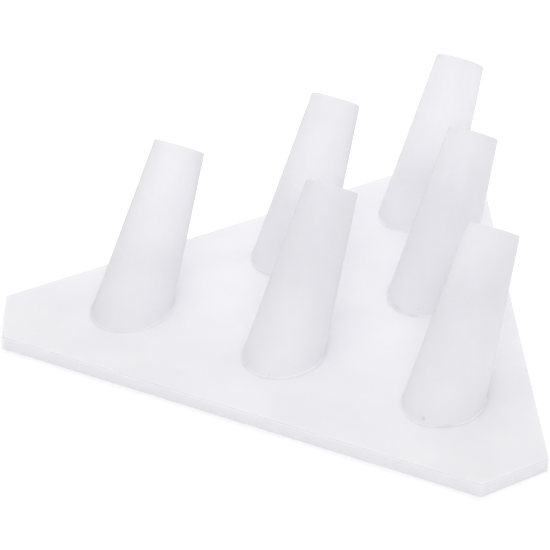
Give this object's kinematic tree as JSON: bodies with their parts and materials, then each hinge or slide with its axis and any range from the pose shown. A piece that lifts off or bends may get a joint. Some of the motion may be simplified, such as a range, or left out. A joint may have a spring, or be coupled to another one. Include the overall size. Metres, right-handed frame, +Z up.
{
  "type": "ring display stand",
  "caption": "Low triangular plate with cut corners, carrying leaning tapered fingers that each hold a finger ring for display.",
  "frame": {"origin": "centre of the plate's underside, which is the centre of its triangle", "axes": "+Z up, normal to the plate; +X along the long front edge, to the right seen from the front; +Y from the front edge towards the back corner, the way every finger leans"},
  "size_m": [0.1328, 0.1214, 0.0372],
  "materials": {
    "frosted_acrylic_sheet": "matte",
    "frosted_acrylic_rod": "matte",
    "acrylic_cement": "satin"
  },
  "bodies": {
    "root": {"base_plate": "frosted_acrylic_sheet", "ring_finger_front_left": "frosted_acrylic_rod", "ring_finger_front_centre": "frosted_acrylic_rod", "ring_finger_front_right": "frosted_acrylic_rod", "ring_finger_middle_left": "frosted_acrylic_rod", "ring_finger_middle_right": "frosted_acrylic_rod", "ring_finger_back": "frosted_acrylic_rod", "adhesive_bond_front_left": "acrylic_cement", "adhesive_bond_front_centre": "acrylic_cement", "adhesive_bond_front_right": "acrylic_cement", "adhesive_bond_middle_left": "acrylic_cement", "adhesive_bond_middle_right": "acrylic_cement", "adhesive_bond_back": "acrylic_cement"}
  },
  "joints": []
}
